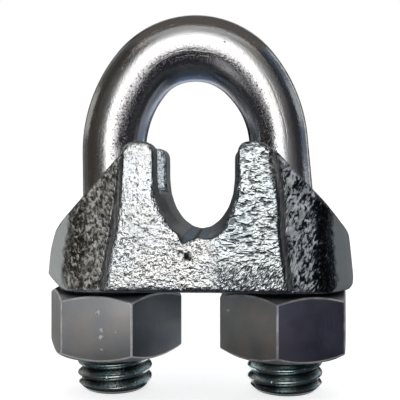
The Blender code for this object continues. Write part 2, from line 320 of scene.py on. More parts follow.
def make_bar():
    """The bent bar, swept from the crown down each side to its thread."""
    crown, crown_radius, haunch, haunch_radius, meeting, touch, foot = bow_parts(-BOW_LEAN)
    top = crown + Vector((0.0, 0.0, crown_radius))
    deselect()
    bpy.ops.mesh.primitive_circle_add(
        vertices=BAR_SIDES, radius=BAR_RADIUS, location=top, rotation=(0.0, math.pi / 2, 0.0)
    )
    bar = bpy.context.object
    bar.name = "bent_bar"
    bpy.ops.object.transform_apply(location=True, rotation=True, scale=False)
    for side, lean in ((1, -BOW_LEAN), (-1, BOW_LEAN)):
        crown, crown_radius, haunch, haunch_radius, meeting, touch, foot = bow_parts(lean)
        flip = Vector((side, 1.0, 1.0))
        edit(bar)
        select_verts(bar, lambda co: abs(co.x - top.x) < WELD)
        spin_bar(crown * flip, side * (meeting - math.pi / 2))
        spin_bar(haunch * flip, side * (touch - meeting))
        end = haunch + haunch_radius * Vector((math.cos(touch), 0.0, math.sin(touch)))
        bpy.ops.mesh.extrude_region_move(TRANSFORM_OT_translate={"value": (foot - end) * flip})
        bpy.ops.mesh.edge_face_add()
    bpy.ops.mesh.select_all(action="SELECT")
    bpy.ops.mesh.remove_doubles(threshold=WELD)
    bpy.ops.mesh.normals_make_consistent(inside=False)
    deselect()
    return bar


def make_u_bolt():
    """The U-bolt: the bent bar with a rounded thread on each leg."""
    bolt = make_bar()
    blank = [
        (0.0, THREAD_LENGTH + THREAD_PITCH / 2),
        (BAR_RADIUS - THREAD_GAP, THREAD_LENGTH + THREAD_PITCH / 2),
        (THREAD_RADIUS + THREAD_GAP, THREAD_LENGTH - THREAD_PITCH),
        (THREAD_RADIUS + THREAD_GAP, LEG_CHAMFER + THREAD_GAP),
        (THREAD_RADIUS - LEG_CHAMFER, 0.0),
        (0.0, 0.0),
    ]
    for side, x in (("left", -LEG_X), ("right", LEG_X)):
        leg = threaded_rod(
            "leg", THREAD_RADIUS, THREAD_DEPTH, 0.0, THREAD_LENGTH + THREAD_PITCH, THREAD_STARTS[side]
        )
        cut(leg, "INTERSECT", turned("blank", blank, TURN_STEPS))
        move(leg, (x, 0.0, 0.0))
        cut(bolt, "UNION", leg)
    return bolt


def bow_line():
    """Points close together along the middle line of the bar, from the left foot to the right foot."""
    corners = []
    for side, lean in ((-1, BOW_LEAN), (1, -BOW_LEAN)):
        crown, crown_radius, haunch, haunch_radius, meeting, touch, foot = bow_parts(lean)
        half = [Vector((LEG_X, 0.0, 0.0)), foot]
        for centre, radius, start, end in (
            (haunch, haunch_radius, touch, meeting),
            (crown, crown_radius, meeting, math.pi / 2),
        ):
            for k in range(LINE_STEPS + 1):
                angle = start + (end - start) * k / LINE_STEPS
                half.append(centre + radius * Vector((math.cos(angle), 0.0, math.sin(angle))))
        half = [point * Vector((side, 1.0, 1.0)) for point in half]
        corners += half if side < 0 else half[-2::-1]
    line = []
    for one, two in zip(corners, corners[1:]):
        count = max(1, round((two - one).length / LINE_SPACING))
        line += [one.lerp(two, k / count) for k in range(count)]
    return line


def inside_growth(along):
    """How much further the inner side of the bar stands, by the distance from the crown towards the right."""
    swell = CROWN_SWELL * math.exp(-((along / CROWN_SWELL_REACH) ** 2))
    dip = HAUNCH_DIP * math.exp(-(((along - HAUNCH_DIP_PLACE) / HAUNCH_DIP_REACH) ** 2))
    return swell - dip - LEG_THINNING * smooth_step(LEG_THINNING_START, LEG_THINNING_END, along)


def outside_growth(along):
    """How much further the outer side of the bar stands in, by the distance from the crown."""
    return CROWN_FLATTENING * math.exp(-((along / CROWN_FLATTENING_REACH) ** 2))


def bend_section(bolt):
    """Gives the bar the uneven section that bending left, and each vertex its place on the unbent bar.

    The place is kept as the attribute "run": towards the inside of the bend, back, and from the crown to the right.
    """
    line = bow_line()
    tree = kdtree.KDTree(len(line))
    lengths = [0.0]
    for index, point in enumerate(line):
        tree.insert(point, index)
        if index:
            lengths.append(lengths[-1] + (point - line[index - 1]).length)
    tree.balance()
    middle = lengths[max(range(len(line)), key=lambda k: line[k].z)]
    run = bolt.data.attributes.new("run", "FLOAT_VECTOR", "POINT")
    for index, vertex in enumerate(bolt.data.vertices):
        _, near, _ = tree.find(Vector((vertex.co.x, 0.0, vertex.co.z)))
        ahead = (line[min(near + 1, len(line) - 1)] - line[max(near - 1, 0)]).normalized()
        inward = Vector((ahead.z, 0.0, -ahead.x))
        away = vertex.co - line[near]
        inside = away.dot(inward)
        along = lengths[near] + away.dot(ahead) - middle
        run.data[index].vector = (inside, away.y, along)
        share = smooth_step(THREAD_LENGTH, THREAD_LENGTH + 3 * THREAD_PITCH, vertex.co.z)
        growth = inside_growth(along) if inside > 0.0 else -outside_growth(along)
        vertex.co += share * inside / BAR_RADIUS * growth * inward
        vertex.co.y += share * SECTION_SHEAR * inside


# Nuts


def nut_corner(node):
    """How far across the front corner of a nut lies."""
    x = LEG_X if node == "right_nut" else -LEG_X
    return x + NUT_FLATS / 2 / math.cos(math.pi / 6) * math.sin(NUT_TURNS[node])


def make_nut(node):
    """A hexagon nut with rounded corners, turned chamfers and a threaded bore."""
    low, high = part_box(node)
    x = LEG_X if node == "right_nut" else -LEG_X
    height = high.z - low.z
    corner = NUT_FLATS / 2 / math.cos(math.pi / 6)
    deselect()
    bpy.ops.mesh.primitive_cylinder_add(
        vertices=6, radius=corner, depth=height, location=(0.0, 0.0, height / 2),
        rotation=(0.0, 0.0, NUT_TURNS[node]),
    )
    nut = bpy.context.object
    nut.name = node + "_plated"
    for material in NUT_FINISHES[node]:
        nut.data.materials.append(material)
    bpy.ops.object.transform_apply(location=True, rotation=True, scale=False)
    edit(nut)
    bpy.ops.mesh.select_mode(type="EDGE")
    bpy.ops.mesh.select_all(action="DESELECT")
    bpy.ops.object.mode_set(mode="OBJECT")
    for edge in nut.data.edges:
        one, two = (nut.data.vertices[i].co for i in edge.vertices)
        edge.select = abs(one.z - two.z) > height / 2
    bpy.ops.object.mode_set(mode="EDIT")
    bpy.ops.mesh.bevel(offset=NUT_CORNER_ROUND, segments=4, affect="EDGES", material=2)
    deselect()

    drop = (corner - NUT_FACE_RADIUS) * math.tan(NUT_CHAMFER)
    barrel = [
        (0.0, height),
        (NUT_FACE_RADIUS, height),
        (corner, height - drop),
        (corner + OVERCUT, height - drop - OVERCUT / 2),
        (corner + OVERCUT, drop + OVERCUT / 2),
        (corner, drop),
        (NUT_FACE_RADIUS, 0.0),
        (0.0, 0.0),
    ]
    cut(nut, "INTERSECT", turned("barrel", barrel, TURN_STEPS))
    apply_modifier(
        nut, "BEVEL", width=NUT_EDGE_ROUND, segments=3, limit_method="ANGLE", angle_limit=math.radians(20.0),
        use_clamp_overlap=True, harden_normals=False, material=2,
    )
    move(nut, (x, 0.0, low.z))

    bore = THREAD_RADIUS + THREAD_GAP
    mouth = bore + NUT_COUNTERSINK
    core = bore - THREAD_DEPTH
    depth = mouth - core
    spool = [
        (0.0, height + OVERCUT),
        (mouth + OVERCUT, height + OVERCUT),
        (core, height - depth),
        (core, depth),
        (mouth + OVERCUT, -OVERCUT),
        (0.0, -OVERCUT),
    ]
    mouths = turned("mouths", spool, TURN_STEPS)
    move(mouths, (x, 0.0, low.z))
    cut(nut, "DIFFERENCE", mouths)
    start = THREAD_STARTS[node.removesuffix("_nut")]
    tap = threaded_rod("tap", bore, THREAD_DEPTH * 0.9, low.z, high.z, start)
    move(tap, (x, 0.0, 0.0))
    cut(nut, "DIFFERENCE", tap)
    for face in nut.data.polygons:
        away = math.hypot(face.center.x - x, face.center.y)
        if away > NUT_FACE_RADIUS and 0.83 < abs(face.normal.z) < 0.98 and face.material_index != 2:
            face.material_index = 1
    return nut


# Saddle


def sharp_edges(mesh):
    """A search tree of points spaced along the sharp edges of a solid, and the smooth band beside each."""
    shape = bmesh.new()
    shape.from_mesh(mesh)
    points = []
    bands = []
    for edge in shape.edges:
        if edge.calc_face_angle(0.0) > SHARP_ANGLE:
            one, two = (vertex.co for vertex in edge.verts)
            count = max(1, round((two - one).length / EDGE_SPACING))
            points += [one.lerp(two, k / count) for k in range(count + 1)]
            bands += [FLANK_BAND if is_flank_edge(edge) else EDGE_BAND] * (count + 1)
    shape.free()
    tree = kdtree.KDTree(len(points))
    for index, point in enumerate(points):
        tree.insert(point, index)
    tree.balance()
    return tree, bands


def is_flank_edge(edge):
    """Whether an edge of the solid is one of the four upright ones, between a flat face and a flank."""
    rise = abs(edge.verts[0].co.z - edge.verts[1].co.z)
    if len(edge.link_faces) != 2 or rise < FLANK_EDGE_RISE:
        return False
    facing = sorted(abs(face.normal.y) for face in edge.link_faces)
    return facing[1] > 0.95 and 0.2 < facing[0] < 0.9


def bevel_flank_edges(saddle):
    """Bevels the upright edges between the flat faces and the flanks."""
    edit(saddle)
    bpy.ops.mesh.select_mode(type="EDGE")
    bpy.ops.mesh.select_all(action="DESELECT")
    shape = bmesh.from_edit_mesh(saddle.data)
    for edge in shape.edges:
        edge.select = is_flank_edge(edge)
    bmesh.update_edit_mesh(saddle.data)
    bpy.ops.mesh.bevel(offset=FLANK_BEVEL, segments=2, affect="EDGES", clamp_overlap=False)
    deselect()


def skin_strength(place, normal):
    """How much of the mould's coarse skin shows on a face of the solid, from its place and direction."""
    outward = normal.y * place.y > 0.0
    upright = abs(normal.z) < 0.25
    if upright and outward and abs(normal.x) < BOSS_FACING and abs(place.x) > GROOVE_HALF:
        return 1.0
    if upright and outward and abs(normal.y) > 0.9:
        return 1.0
    if upright and outward and abs(place.x) > LEG_X:
        return 0.06
    if normal.z > 0.4 and abs(place.x) > GROOVE_HALF:
        return 0.45
    if upright and abs(normal.y) > 0.9:
        return 0.7
    return 0.15


def grain(place):
    """The height of the mould's skin at a place, from about -1 to 1."""
    side = smooth_step(0.0, 0.006, place.x)
    run = Vector((place.x * (1.0 - 0.35 * side), place.y, place.z * (1.0 + 0.25 * side)))
    lumps = noise.noise(run / LUMP_SIZE)
    grit = noise.noise(run / GRIT_SIZE + Vector((7.3, 1.9, 4.1)))
    hollows = noise.noise(run / HOLLOW_SIZE + Vector((3.1, 8.7, 2.2)))
    return 0.55 * lumps + 0.6 * grit - 0.9 * smooth_step(0.28, 0.6, hollows)


def dents(place):
    """The depth of the few larger pits in the front face."""
    depth = 0.0
    if place.y < 0.0:
        for x, z, radius, deep in CAST_DENTS:
            away = math.hypot(place.x - x, place.z - z) / radius
            depth += deep * math.exp(-away * away)
    return depth


def mouth(place):
    """The push that leaves the groove's front edge uneven, away from the groove or into it."""
    front = smooth_step(MOUTH_REACH, 0.0, place.y - SADDLE_LOW.y)
    if front == 0.0:
        return Vector()
    out = Vector((place.x / GROOVE_HALF_WIDTH, 0.0, min(place.z - GROOVE_CENTRE, 0.0) / GROOVE_ROUND_DEPTH))
    near = math.exp(-(((out.length - 1.0) / MOUTH_SPREAD) ** 2))
    angle = math.degrees(math.atan2(out.x, -out.z))
    push = sum(size * math.exp(-(((angle - at) / width) ** 2)) for at, width, size in MOUTH_WAVES)
    return front * near * push * out.normalized()


def cast_uneven(place):
    """The push that narrows the groove towards the back and sets the shoulders a little to the right."""
    if abs(place.x) > SHOULDER_START:
        outer = smooth_step(SHOULDER_START, SHOULDER_START + 0.001, abs(place.x))
        if place.x < 0.0:
            share = 0.3 + 0.85 * smooth_step(0.0180, 0.0215, place.z)
        else:
            share = smooth_step(0.0215, 0.0255, place.z)
        return Vector((MOULD_SHIFT * share * outer, 0.0, 0.0))
    wall = smooth_step(1.6, 1.1, abs(place.x) / GROOVE_HALF_WIDTH) * smooth_step(0.0195, 0.0225, place.z)
    back = smooth_step(0.0, -SADDLE_LOW.y, place.y)
    return Vector((-GROOVE_TAPER * wall * back * max(-1.0, min(1.0, place.x / 0.002)), 0.0, 0.0))


def uneven_foot(place):
    """The push that lifts the foot's front and back edges and cuts its left end back."""
    low = place.z - SADDLE_LOW.z
    out = smooth_step(FOOT_LIFT_START, -SADDLE_LOW.y, abs(place.y))
    lift = FOOT_LIFT * out * smooth_step(FOOT_LIFT_RISE, 0.0003, low)
    end = smooth_step(-LEG_X - 0.004, SADDLE_LOW.x + 0.0005, place.x)
    return Vector((LEFT_FOOT_CUT * end * max(0.0, LEFT_FOOT_TOP - low), 0.0, lift))


def valley_lean(place, normal):
    """The push that turns the walls of the valley a little towards the groove."""
    if normal.y * place.y < 0.0 and abs(normal.y) > 0.9:
        return Vector((0.0, VALLEY_WALL_TURN * (GROOVE_HALF_WIDTH - abs(place.x)) * math.copysign(1.0, place.y), 0.0))
    return Vector()


def beside_leg_hole(place):
    """0 on the wall of a leg's hole, where the casting keeps its place, and 1 a little way from it."""
    away = math.hypot(abs(place.x) - LEG_X, place.y)
    return smooth_step(LEG_HOLE_RADIUS, LEG_HOLE_RADIUS + 0.0008, away)


def make_saddle():
    """The casting: the solid with its edges rounded by the mould and its faces left coarse."""
    saddle = frame["nodes"]["saddle"].copy()
    saddle.data = saddle.data.copy()
    saddle.name = "cast_saddle"
    saddle.parent = None
    bpy.context.scene.collection.objects.link(saddle)
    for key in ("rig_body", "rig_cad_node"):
        del saddle[key]
    edit(saddle)
    bpy.ops.mesh.remove_doubles(threshold=WELD)
    bpy.ops.mesh.dissolve_limited(angle_limit=FLAT_ANGLE)
    deselect()
    edges, bands = sharp_edges(saddle.data)
    solid = bvhtree.BVHTree.FromPolygons(
        [vertex.co.copy() for vertex in saddle.data.vertices], [tuple(f.vertices) for f in saddle.data.polygons]
    )
    bevel_flank_edges(saddle)
    apply_modifier(saddle, "REMESH", mode="VOXEL", voxel_size=CAST_VOXEL, adaptivity=0.0)
    apply_modifier(saddle, "SMOOTH", factor=0.5, iterations=CAST_SMOOTHING)

    def edge_share(place):
        _, index, away = edges.find(place)
        if bands[index] == FLANK_BAND:
            return FLANK_RIM * smooth_step(1.0, 0.2, away / FLANK_BAND)
        return smooth_step(1.0, 0.5, away / bands[index])

    def coarse(place):
        astray = SKIN_WANDER * noise.noise(place / LUMP_SIZE)
        steps = range(-2, 3) if abs(place.x) > LEG_X else (0,)
        total = 0.0
        for step in steps:
            nearest, normal, _, _ = solid.find_nearest(place + Vector((astray + step * SKIN_FADE, 0.0, 0.0)))
            total += skin_strength(nearest, normal)
        return total / len(steps) * (1.0 - edge_share(place))

    edit(saddle)
    select_verts(saddle, lambda co: coarse(co) > 0.25)
    bpy.ops.mesh.subdivide(number_cuts=1, smoothness=0.0)
    deselect()

    mesh = saddle.data
    names = ("skin", "rim", "flank", "pit")
    for name in names:
        mesh.attributes.new(name, "FLOAT", "POINT")
    skin, rim, flank, pit = (mesh.attributes[name].data for name in names)
    normals = [vertex.normal.copy() for vertex in mesh.vertices]
    for index, vertex in enumerate(mesh.vertices):
        amount = coarse(vertex.co)
        nearest, normal, _, _ = solid.find_nearest(vertex.co)
        skin[index].value = amount
        rim[index].value = edge_share(vertex.co)
        flank[index].value = smooth_step(0.3, 0.5, abs(normal.x))
        depth = dents(vertex.co)
        pit[index].value = smooth_step(0.00008, 0.00022, depth)
        height = GRAIN_HEIGHT * amount * grain(vertex.co) - depth
        push = mouth(vertex.co) + valley_lean(vertex.co, normal) + cast_uneven(vertex.co) + uneven_foot(vertex.co)
        vertex.co += height * normals[index] + beside_leg_hole(vertex.co) * push
    return saddle


# Finishes


def add(tree, kind, settings=None, **inputs):
    """A shader node with its settings and inputs; an input is a plain value or another node's socket."""
    made = tree.nodes.new("ShaderNode" + kind)
    for name, value in (settings or {}).items():
        setattr(made, name, value)
    for name, value in inputs.items():
        socket = made.inputs[int(name[1:])] if name[0] == "i" and name[1:].isdigit() else made.inputs[name]
        if isinstance(value, bpy.types.NodeSocket):
            tree.links.new(value, socket)
        else:
            socket.default_value = value
    return made


def math_node(tree, operation, one, two=0.0):
    """One sum or product of two values."""
    return add(tree, "Math", {"operation": operation}, i0=one, i1=two).outputs[0]


def ranged(tree, value, low, high, start=0.0, end=1.0):
    """A value that runs softly from start to end while another runs from low to high."""
    return add(
        tree, "MapRange", {"interpolation_type": "SMOOTHSTEP"},
        **{"Value": value, "From Min": low, "From Max": high, "To Min": start, "To Max": end},
    ).outputs["Result"]


def mixed(tree, share, one, two, blend="MIX"):
    """A mix of two colours."""
    made = add(tree, "Mix", {"data_type": "RGBA", "blend_type": blend})
    for socket, value in zip((made.inputs[0], made.inputs[6], made.inputs[7]), (share, one, two)):
        if isinstance(value, bpy.types.NodeSocket):
            tree.links.new(value, socket)
        else:
            socket.default_value = value
    return made.outputs[2]


def new_group(name, inputs, outputs):
    """An empty node group with its named inputs and outputs."""
    tree = bpy.data.node_groups.new(name, "ShaderNodeTree")
    for label, kind in inputs:
        tree.interface.new_socket(label, in_out="INPUT", socket_type="NodeSocket" + kind)
    for label, kind in outputs:
        tree.interface.new_socket(label, in_out="OUTPUT", socket_type="NodeSocket" + kind)
    entry = tree.nodes.new("NodeGroupInput")
    leave = tree.nodes.new("NodeGroupOutput")
    return tree, entry, leave


def place_group(tree, group, **inputs):
    """A node group placed in a material with its own values."""
    made = tree.nodes.new("ShaderNodeGroup")
    made.node_tree = group
    for name, value in inputs.items():
        if isinstance(value, bpy.types.NodeSocket):
            tree.links.new(value, made.inputs[name])
        else:
            made.inputs[name].default_value = value
    return made


def zinc_bloom_group():
    """The faint warm and cool clouds of zinc plate, and where it is hazier."""
    tree, entry, leave = new_group(
        "zinc_bloom",
        [("Vector", "Vector"), ("Scale", "Float"), ("Cool", "Color"), ("Warm", "Color")],
        [("Tint", "Color"), ("Haze", "Float")],
    )
    clouds = add(tree, "TexNoise", Vector=entry.outputs["Vector"], Scale=entry.outputs["Scale"], Detail=3.0)
    haze = add(
        tree, "TexNoise", {"noise_dimensions": "4D"}, Vector=entry.outputs["Vector"], W=3.7,
        Scale=entry.outputs["Scale"], Detail=4.0,
    )
    share = ranged(tree, clouds.outputs["Fac"], 0.35, 0.65)
    tint = mixed(tree, share, entry.outputs["Cool"], entry.outputs["Warm"])
    tree.links.new(tint, leave.inputs["Tint"])
    tree.links.new(ranged(tree, haze.outputs["Fac"], 0.3, 0.7), leave.inputs["Haze"])
    return tree


def pitting_group():
    """Small scattered pits: where they lie, and their height for a bump."""
    tree, entry, leave = new_group(
        "pitting", [("Vector", "Vector"), ("Scale", "Float"), ("Share", "Float")], [("Pits", "Float"), ("Height", "Float")]
    )
    cells = add(
        tree, "TexVoronoi", {"feature": "SMOOTH_F1"}, Vector=entry.outputs["Vector"], Scale=entry.outputs["Scale"],
        Smoothness=0.3,
    )
    rarely = add(tree, "TexNoise", Vector=entry.outputs["Vector"], Scale=math_node(tree, "MULTIPLY", entry.outputs["Scale"], 0.37))
    dip = ranged(tree, cells.outputs["Distance"], 0.42, 0.12)
    level = math_node(tree, "SUBTRACT", 1.0, entry.outputs["Share"])
    lower = math_node(tree, "SUBTRACT", rarely.outputs["Fac"], level)
    chosen = ranged(tree, lower, 0.0, 0.08)
    pits = math_node(tree, "MULTIPLY", dip, chosen)
    tree.links.new(pits, leave.inputs["Pits"])
    tree.links.new(math_node(tree, "MULTIPLY", pits, -1.0), leave.inputs["Height"])
    return tree


def scuffs_group():
    """Thin lines along the third axis of the given coordinates, where something has rubbed."""
    tree, entry, leave = new_group(
        "scuffs", [("Vector", "Vector"), ("Scale", "Float"), ("Stretch", "Float"), ("Share", "Float")],
        [("Lines", "Float")],
    )
    stretch = add(tree, "CombineXYZ", X=1.0, Y=1.0, Z=entry.outputs["Stretch"])
    run = add(tree, "VectorMath", {"operation": "MULTIPLY"}, i0=entry.outputs["Vector"], i1=stretch.outputs[0])
    fine = add(tree, "TexNoise", Vector=run.outputs[0], Scale=entry.outputs["Scale"], Detail=2.0)
    level = math_node(tree, "SUBTRACT", 1.0, entry.outputs["Share"])
    above = math_node(tree, "SUBTRACT", fine.outputs["Fac"], level)
    tree.links.new(ranged(tree, above, 0.0, 0.10), leave.inputs["Lines"])
    return tree


def cast_grain_group():
    """The wormy grain of a sand mould: its height, and its hollows, where the casting is painted with shade."""
    tree, entry, leave = new_group(
        "cast_grain", [("Vector", "Vector"), ("Scale", "Float"), ("Level", "Float"), ("Twist", "Float")],
        [("Height", "Float"), ("Hollows", "Float")],
    )
    worms = add(
        tree, "TexNoise", Vector=entry.outputs["Vector"], Scale=entry.outputs["Scale"], Detail=1.0,
        Roughness=0.5, Distortion=entry.outputs["Twist"],
    )
    grit = add(
        tree, "TexNoise", Vector=entry.outputs["Vector"], Detail=1.0,
        Scale=math_node(tree, "MULTIPLY", entry.outputs["Scale"], 2.3),
    )
    coarse = math_node(tree, "MULTIPLY", worms.outputs["Fac"], 0.75)
    height = math_node(tree, "ADD", coarse, math_node(tree, "MULTIPLY", grit.outputs["Fac"], 0.25))
    tree.links.new(height, leave.inputs["Height"])
    deep = math_node(tree, "SUBTRACT", entry.outputs["Level"], height)
    tree.links.new(ranged(tree, deep, 0.0, 0.10), leave.inputs["Hollows"])
    return tree


def new_material(name):
    """A metal with its nodes and its shader."""
    material = bpy.data.materials.new(name)
    material.use_nodes = True
    tree = material.node_tree
    shader = tree.nodes["Principled BSDF"]
    shader.inputs["Metallic"].default_value = 1.0
    return material, tree, shader


def bump(tree, shader, height, distance, strength=1.0):
    """Raises the surface's shading by a height."""
    made = add(tree, "Bump", Height=height, Distance=distance, Strength=strength)
    tree.links.new(made.outputs["Normal"], shader.inputs["Normal"])


def bar_zinc(groups):
    """Bright smooth zinc on drawn bar: long scratches, fine grain and a few pits, with painted shade in the pits, along
    the inner side of the bend and in its dimples, and a bluish painted reflection on the inner side of the left leg and
    crown.
    """
    material, tree, shader = new_material("bar_zinc")
    run = add(tree, "Attribute", {"attribute_name": "run"}).outputs["Vector"]
    bloom = place_group(
        tree, groups["zinc_bloom"], Vector=run, Scale=260.0, Cool=(0.80, 0.80, 0.81, 1.0), Warm=(0.84, 0.82, 0.79, 1.0)
    )
    lines = place_group(tree, groups["scuffs"], Vector=run, Scale=2600.0, Stretch=0.035, Share=0.38)
    pits = place_group(tree, groups["pitting"], Vector=run, Scale=2600.0, Share=0.36)
    grain = add(tree, "TexNoise", Vector=run, Scale=3000.0, Detail=3.0, Roughness=0.6)
    peel = add(tree, "TexNoise", Vector=run, Scale=4200.0, Detail=2.0, Roughness=0.6)
    parts = add(tree, "SeparateXYZ", Vector=run)
    inside = parts.outputs["X"]
    along = parts.outputs["Z"]
    # Painted shade: the inner side of the bend is darkened, broken into dots by the peel noise at its edge, and darker
    # on the right leg than at the crown.
    level = ranged(tree, inside, -0.0003, 0.0013, 0.22, 0.78)
    dull = ranged(tree, math_node(tree, "SUBTRACT", level, peel.outputs["Fac"]), -0.03, 0.03)
    # Painted reflection: a bluish band near the inner edge of the bar on the left leg and crown, paler and less
    # metallic on the left leg.
    left = ranged(tree, along, -0.004, -0.010)
    painted_reflection_band = math_node(tree, "MULTIPLY", ranged(tree, inside, 0.0032, 0.0034), ranged(tree, along, 0.009, 0.005))
    # Painted shade in the bar's pits.
    colour = mixed(tree, pits.outputs["Pits"], bloom.outputs["Tint"], (0.45, 0.43, 0.41, 1.0))
    shade = mixed(tree, ranged(tree, along, 0.004, 0.012), (0.64, 0.62, 0.63, 1.0), (0.46, 0.45, 0.46, 1.0))
    colour = mixed(tree, dull, colour, shade)
    # Dark painted specks in the dimples along the inner edge of the highlight. These are real dimples in the bump;
    # their dark colour is painted shade.
    crown = ranged(tree, math_node(tree, "ABSOLUTE", along), 0.012, 0.004)
    shifted = math_node(tree, "SUBTRACT", inside, math_node(tree, "MULTIPLY", crown, 0.0006))
    band = math_node(tree, "MULTIPLY", ranged(tree, shifted, -0.0002, 0.0008), ranged(tree, inside, 0.0026, 0.0016))
    dimples = place_group(tree, groups["pitting"], Vector=run, Scale=3600.0, Share=0.62)
    dimples_with_painted_shade = math_node(tree, "MULTIPLY", dimples.outputs["Pits"], band)
    colour = mixed(tree, math_node(tree, "MULTIPLY", dimples_with_painted_shade, 0.8), colour, (0.22, 0.21, 0.21, 1.0))
    colour = mixed(tree, painted_reflection_band, colour, mixed(tree, left, (0.72, 0.80, 0.94, 1.0), (0.80, 0.88, 1.0, 1.0)))
    tree.links.new(colour, shader.inputs["Base Color"])
    painted_reflection_share = math_node(tree, "MULTIPLY", painted_reflection_band, left)
    tree.links.new(ranged(tree, painted_reflection_share, 0.0, 1.0, 1.0, 0.7), shader.inputs["Metallic"])
    haze = ranged(tree, bloom.outputs["Haze"], 0.0, 1.0, 0.11, 0.17)
    rubbed = math_node(tree, "MULTIPLY", ranged(tree, inside, -0.0005, -0.0012), ranged(tree, inside, -0.0027, -0.0019))
    rubbed = math_node(tree, "MULTIPLY", rubbed, ranged(tree, along, 0.003, 0.010, 0.15, 0.24))
    haze = math_node(tree, "ADD", haze, rubbed)
    tree.links.new(haze, shader.inputs["Roughness"])
    height = math_node(tree, "MULTIPLY", grain.outputs["Fac"], 0.6)
    height = math_node(tree, "ADD", height, math_node(tree, "MULTIPLY", lines.outputs["Lines"], -0.22))
    height = math_node(tree, "ADD", height, math_node(tree, "MULTIPLY", pits.outputs["Height"], 0.5))
    height = math_node(tree, "SUBTRACT", height, math_node(tree, "MULTIPLY", dimples_with_painted_shade, 0.8))
    bump(tree, shader, height, 0.00005)
    return material


def thread_zinc(groups):
    """Darker greenish zinc on the threads, with painted shade in the roots."""
    material, tree, shader = new_material("thread_zinc")
    place = add(tree, "TexCoord").outputs["Object"]
    parts = add(tree, "SeparateXYZ", Vector=place)
    across = math_node(tree, "SUBTRACT", math_node(tree, "ABSOLUTE", parts.outputs["X"]), LEG_X)
    square = math_node(
        tree, "ADD", math_node(tree, "MULTIPLY", across, across),
        math_node(tree, "MULTIPLY", parts.outputs["Y"], parts.outputs["Y"]),
    )
    radius = math_node(tree, "SQRT", square)
    root = ranged(tree, radius, THREAD_RADIUS - 0.25 * THREAD_DEPTH, THREAD_RADIUS - THREAD_DEPTH)
    bloom = place_group(
        tree, groups["zinc_bloom"], Vector=place, Scale=420.0, Cool=(0.58, 0.80, 0.82, 1.0), Warm=(0.74, 0.75, 0.70, 1.0)
    )
    pits = place_group(tree, groups["pitting"], Vector=place, Scale=2400.0, Share=0.5)
    # Painted shade: the colour darkens towards the thread's roots.
    colour = mixed(tree, root, bloom.outputs["Tint"], (0.09, 0.11, 0.11, 1.0))
    tree.links.new(colour, shader.inputs["Base Color"])
    tree.links.new(ranged(tree, bloom.outputs["Haze"], 0.0, 1.0, 0.18, 0.32), shader.inputs["Roughness"])
    grain = add(tree, "TexNoise", Vector=place, Scale=3000.0, Detail=3.0)
    height = math_node(tree, "ADD", grain.outputs["Fac"], pits.outputs["Height"])
    bump(tree, shader, height, 0.00004)
    return material


def nut_marks(tree, place, marks):
    """Where a nut's front has been knocked, by the x, z and size of each mark, with ragged outlines."""
    rough = add(tree, "TexNoise", Vector=place, Scale=4200.0, Detail=2.0)
    parts = add(tree, "SeparateXYZ", Vector=place)
    ragged = math_node(tree, "SUBTRACT", rough.outputs["Fac"], 0.5)
    mask = None
    for x, z, size in marks:
        spot = add(tree, "CombineXYZ", X=parts.outputs["X"], Z=parts.outputs["Z"])
        away = add(tree, "VectorMath", {"operation": "DISTANCE"}, i0=spot.outputs[0], i1=(x, 0.0, z)).outputs["Value"]
        near = math_node(tree, "SUBTRACT", 1.0, math_node(tree, "DIVIDE", away, size))
        mark = ranged(tree, math_node(tree, "ADD", near, math_node(tree, "MULTIPLY", ragged, 3.2)), 0.25, 0.45)
        mark = math_node(tree, "MULTIPLY", mark, ranged(tree, away, 2.0 * size, 1.5 * size))
        mask = mark if mask is None else math_node(tree, "MAXIMUM", mask, mark)
    return math_node(tree, "MULTIPLY", mask, ranged(tree, parts.outputs["Y"], -0.0015, -0.0025))


def nut_zinc(groups, name, middle, plain, shaded_face_colour, marks):
    """Satin zinc on machined steel, with painted shade right of its front corner, where the face turns darker and
    cooler: faint tool lines and a few knocks, painted pale as a painted highlight.
    """
    material, tree, shader = new_material(name)
    place = add(tree, "TexCoord").outputs["Object"]
    bloom = place_group(
        tree, groups["zinc_bloom"], Vector=place, Scale=300.0, Cool=(0.86, 0.89, 0.92, 1.0), Warm=(1.0, 0.97, 0.93, 1.0)
    )
    lines = place_group(tree, groups["scuffs"], Vector=place, Scale=3200.0, Stretch=0.05, Share=0.42)
    knocks = nut_marks(tree, place, marks)
    grain = add(tree, "TexNoise", Vector=place, Scale=5200.0, Detail=2.0)
    # Painted shade: right of the front corner the face takes the darker, cooler shaded colour.
    side = ranged(tree, add(tree, "SeparateXYZ", Vector=place).outputs["X"], middle - 0.0002, middle + 0.0002)
    colour = mixed(tree, 1.0, mixed(tree, side, plain, shaded_face_colour), bloom.outputs["Tint"], "MULTIPLY")
    # The knocks are painted pale and made less metallic: a painted highlight on real marks.
    colour = mixed(tree, knocks, colour, (0.92, 0.92, 0.92, 1.0))
    tree.links.new(colour, shader.inputs["Base Color"])
    tree.links.new(ranged(tree, knocks, 0.0, 1.0, 1.0, 0.3), shader.inputs["Metallic"])
    haze = ranged(tree, bloom.outputs["Haze"], 0.0, 1.0, 0.40, 0.52)
    tree.links.new(haze, shader.inputs["Roughness"])
    height = math_node(tree, "ADD", math_node(tree, "MULTIPLY", grain.outputs["Fac"], 0.5),
                       math_node(tree, "MULTIPLY", lines.outputs["Lines"], -0.15))
    height = math_node(tree, "ADD", height, math_node(tree, "MULTIPLY", knocks, -2.0))
    bump(tree, shader, height, 0.00004)
    return material


